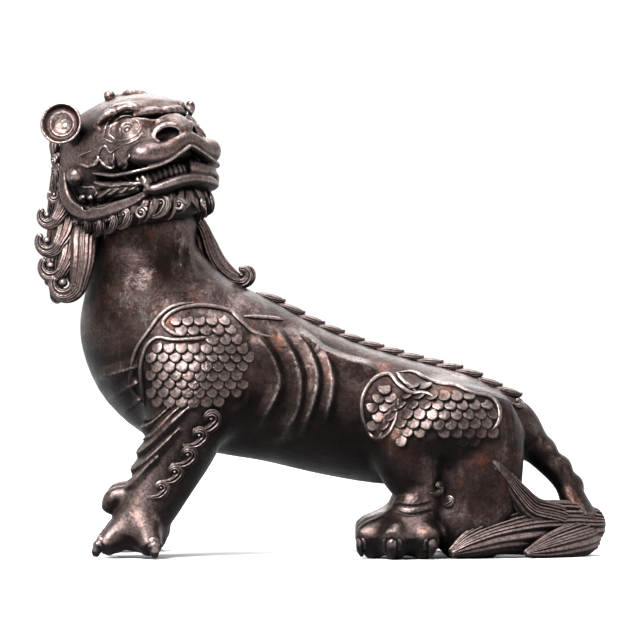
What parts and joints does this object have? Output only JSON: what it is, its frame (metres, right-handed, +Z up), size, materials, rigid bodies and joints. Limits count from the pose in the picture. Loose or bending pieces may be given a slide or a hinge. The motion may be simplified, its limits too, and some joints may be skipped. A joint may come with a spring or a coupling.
{
  "type": "bronze qilin figure",
  "caption": "Cast bronze figure of a seated qilin that looks back over its shoulder, with scaled haunches, a curled mane, a crest down the spine and a tail tuft on the ground.",
  "frame": {"origin": "on the ground, under the middle of the figure's bounding box", "axes": "+X from the chest to the tail, +Y to the figure's right flank, +Z up; the face looks to +X and -Y"},
  "size_m": [0.4194, 0.1692, 0.3413],
  "materials": {
    "bronze": "dark brown-black patinated cast bronze, rubbed brighter on the high places"
  },
  "bodies": {
    "root": {"qilin": "bronze"}
  },
  "joints": []
}
